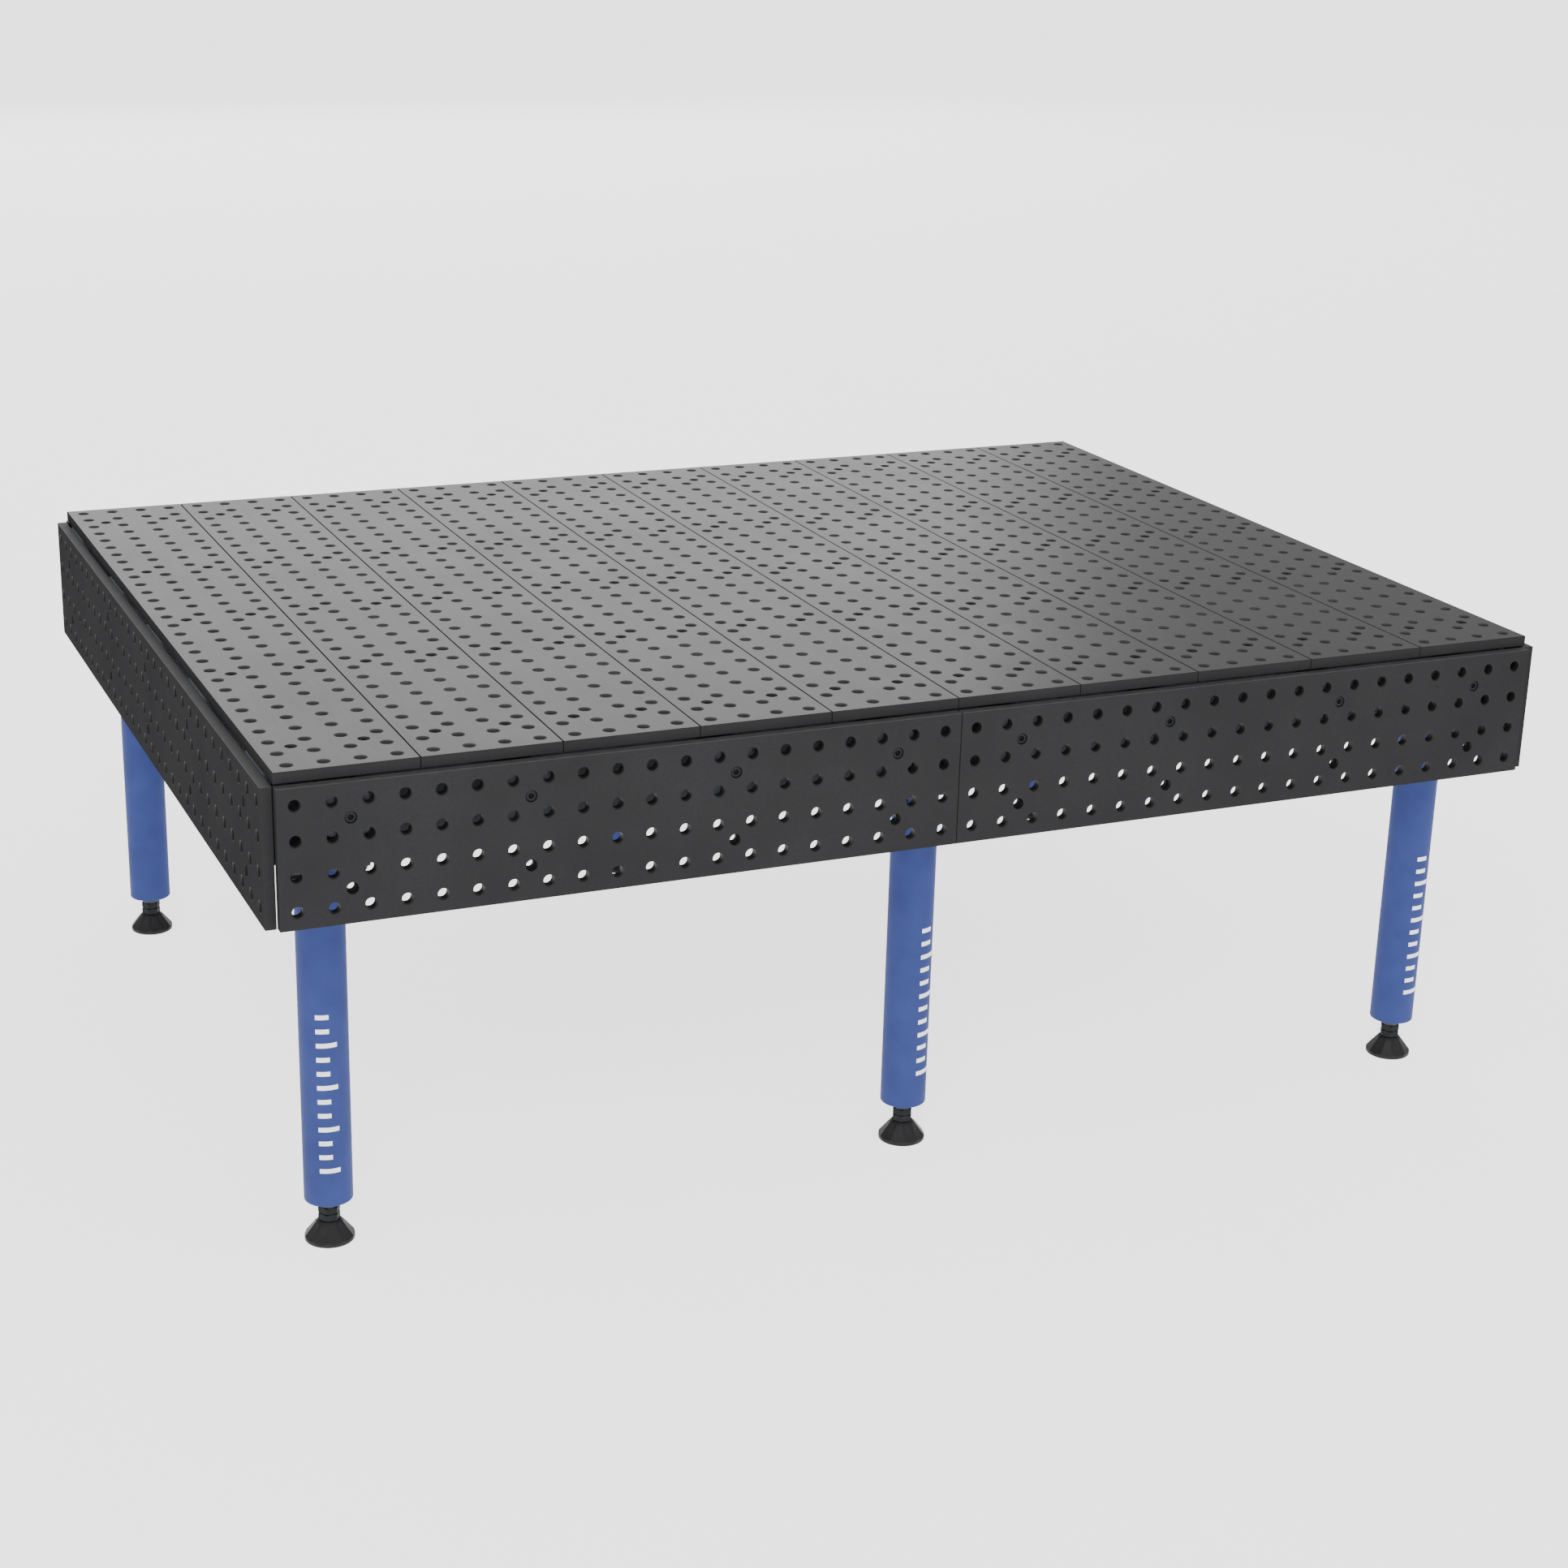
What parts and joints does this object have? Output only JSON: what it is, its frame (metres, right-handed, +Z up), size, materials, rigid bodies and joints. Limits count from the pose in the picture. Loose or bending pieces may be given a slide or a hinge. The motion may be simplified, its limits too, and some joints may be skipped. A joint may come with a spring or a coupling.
{
  "type": "welding table",
  "caption": "Modular welding table: perforated steel planks and side skirts with a grid of fixture holes, on a tube frame with round blue legs and screw levelling feet.",
  "frame": {"origin": "centre of the footprint, on the floor under the pads", "axes": "+X to the right along the front, +Y from the front to the back, +Z up"},
  "size_m": [2.034, 1.526, 0.755],
  "materials": {
    "plank_steel": "satin nitrided plate",
    "skirt_steel": "dark nitrided plate, satin",
    "frame_paint": "dark blue-grey primer, matt",
    "leg_paint": "blue powder coat, satin",
    "black_screw": "black oxide steel, satin",
    "black_cast": "black, matt",
    "foot_black": "black glass-filled nylon, satin"
  },
  "bodies": {
    "table": {"plank_01": "plank_steel", "plank_02": "plank_steel", "plank_03": "plank_steel", "plank_04": "plank_steel", "plank_05": "plank_steel", "plank_06": "plank_steel", "plank_07": "plank_steel", "plank_08": "plank_steel", "plank_09": "plank_steel", "plank_10": "plank_steel", "front_skirt_left": "skirt_steel", "front_skirt_right": "skirt_steel", "rear_skirt_left": "skirt_steel", "rear_skirt_right": "skirt_steel", "left_skirt": "skirt_steel", "right_skirt": "skirt_steel", "frame_rail_1": "frame_paint", "frame_rail_2": "frame_paint", "frame_rail_3": "frame_paint", "frame_rail_4": "frame_paint", "frame_rail_5": "frame_paint", "cross_beams_left": "frame_paint", "cross_beams_middle": "frame_paint", "cross_beams_right": "frame_paint", "rail_end_plates": "frame_paint", "skirt_standoffs": "frame_paint", "leg_mount_plates": "frame_paint", "plank_screws": "black_screw", "skirt_screws": "black_screw", "collar_bolts": "black_screw", "clamp_screws": "black_screw", "leg_collar_front_left": "black_cast", "leg_collar_front_middle": "black_cast", "leg_collar_front_right": "black_cast", "leg_collar_rear_left": "black_cast", "leg_collar_rear_middle": "black_cast", "leg_collar_rear_right": "black_cast", "leg_front_left": "leg_paint", "leg_front_middle": "leg_paint", "leg_front_right": "leg_paint", "leg_rear_left": "leg_paint", "leg_rear_middle": "leg_paint", "leg_rear_right": "leg_paint", "leg_bushes": "black_cast", "lock_nuts": "black_screw"},
    "foot_front_left": {"pad_front_left": "foot_black"},
    "screw_front_left": {"spindle_front_left": "black_screw"},
    "foot_front_middle": {"pad_front_middle": "foot_black"},
    "screw_front_middle": {"spindle_front_middle": "black_screw"},
    "foot_front_right": {"pad_front_right": "foot_black"},
    "screw_front_right": {"spindle_front_right": "black_screw"},
    "foot_rear_left": {"pad_rear_left": "foot_black"},
    "screw_rear_left": {"spindle_rear_left": "black_screw"},
    "foot_rear_middle": {"pad_rear_middle": "foot_black"},
    "screw_rear_middle": {"spindle_rear_middle": "black_screw"},
    "foot_rear_right": {"pad_rear_right": "foot_black"},
    "screw_rear_right": {"spindle_rear_right": "black_screw"}
  },
  "joints": [
    {"name": "foot_slide_front_left", "type": "slide", "parent": "table", "child": "foot_front_left", "axis": [0, 0, -1], "range_m": [0, 0.05]},
    {"name": "spindle_turn_front_left", "type": "hinge", "parent": "foot_front_left", "child": "screw_front_left", "pos_m": [-0.912, -0.626, 0.036], "axis": [0, 0, -1], "range_deg": [0, 7200]},
    {"name": "foot_slide_front_middle", "type": "slide", "parent": "table", "child": "foot_front_middle", "axis": [0, 0, -1], "range_m": [0, 0.05]},
    {"name": "spindle_turn_front_middle", "type": "hinge", "parent": "foot_front_middle", "child": "screw_front_middle", "pos_m": [0, -0.626, 0.036], "axis": [0, 0, -1], "range_deg": [0, 7200]},
    {"name": "foot_slide_front_right", "type": "slide", "parent": "table", "child": "foot_front_right", "axis": [0, 0, -1], "range_m": [0, 0.05]},
    {"name": "spindle_turn_front_right", "type": "hinge", "parent": "foot_front_right", "child": "screw_front_right", "pos_m": [0.912, -0.626, 0.036], "axis": [0, 0, -1], "range_deg": [0, 7200]},
    {"name": "foot_slide_rear_left", "type": "slide", "parent": "table", "child": "foot_rear_left", "axis": [0, 0, -1], "range_m": [0, 0.05]},
    {"name": "spindle_turn_rear_left", "type": "hinge", "parent": "foot_rear_left", "child": "screw_rear_left", "pos_m": [-0.912, 0.626, 0.036], "axis": [0, 0, -1], "range_deg": [0, 7200]},
    {"name": "foot_slide_rear_middle", "type": "slide", "parent": "table", "child": "foot_rear_middle", "axis": [0, 0, -1], "range_m": [0, 0.05]},
    {"name": "spindle_turn_rear_middle", "type": "hinge", "parent": "foot_rear_middle", "child": "screw_rear_middle", "pos_m": [0, 0.626, 0.036], "axis": [0, 0, -1], "range_deg": [0, 7200]},
    {"name": "foot_slide_rear_right", "type": "slide", "parent": "table", "child": "foot_rear_right", "axis": [0, 0, -1], "range_m": [0, 0.05]},
    {"name": "spindle_turn_rear_right", "type": "hinge", "parent": "foot_rear_right", "child": "screw_rear_right", "pos_m": [0.912, 0.626, 0.036], "axis": [0, 0, -1], "range_deg": [0, 7200]}
  ],
  "couplings": [
    {"joint": "spindle_turn_front_left", "follows": "foot_slide_front_left", "rad_per_m": 2513.3},
    {"joint": "spindle_turn_front_middle", "follows": "foot_slide_front_middle", "rad_per_m": 2513.3},
    {"joint": "spindle_turn_front_right", "follows": "foot_slide_front_right", "rad_per_m": 2513.3},
    {"joint": "spindle_turn_rear_left", "follows": "foot_slide_rear_left", "rad_per_m": 2513.3},
    {"joint": "spindle_turn_rear_middle", "follows": "foot_slide_rear_middle", "rad_per_m": 2513.3},
    {"joint": "spindle_turn_rear_right", "follows": "foot_slide_rear_right", "rad_per_m": 2513.3}
  ]
}
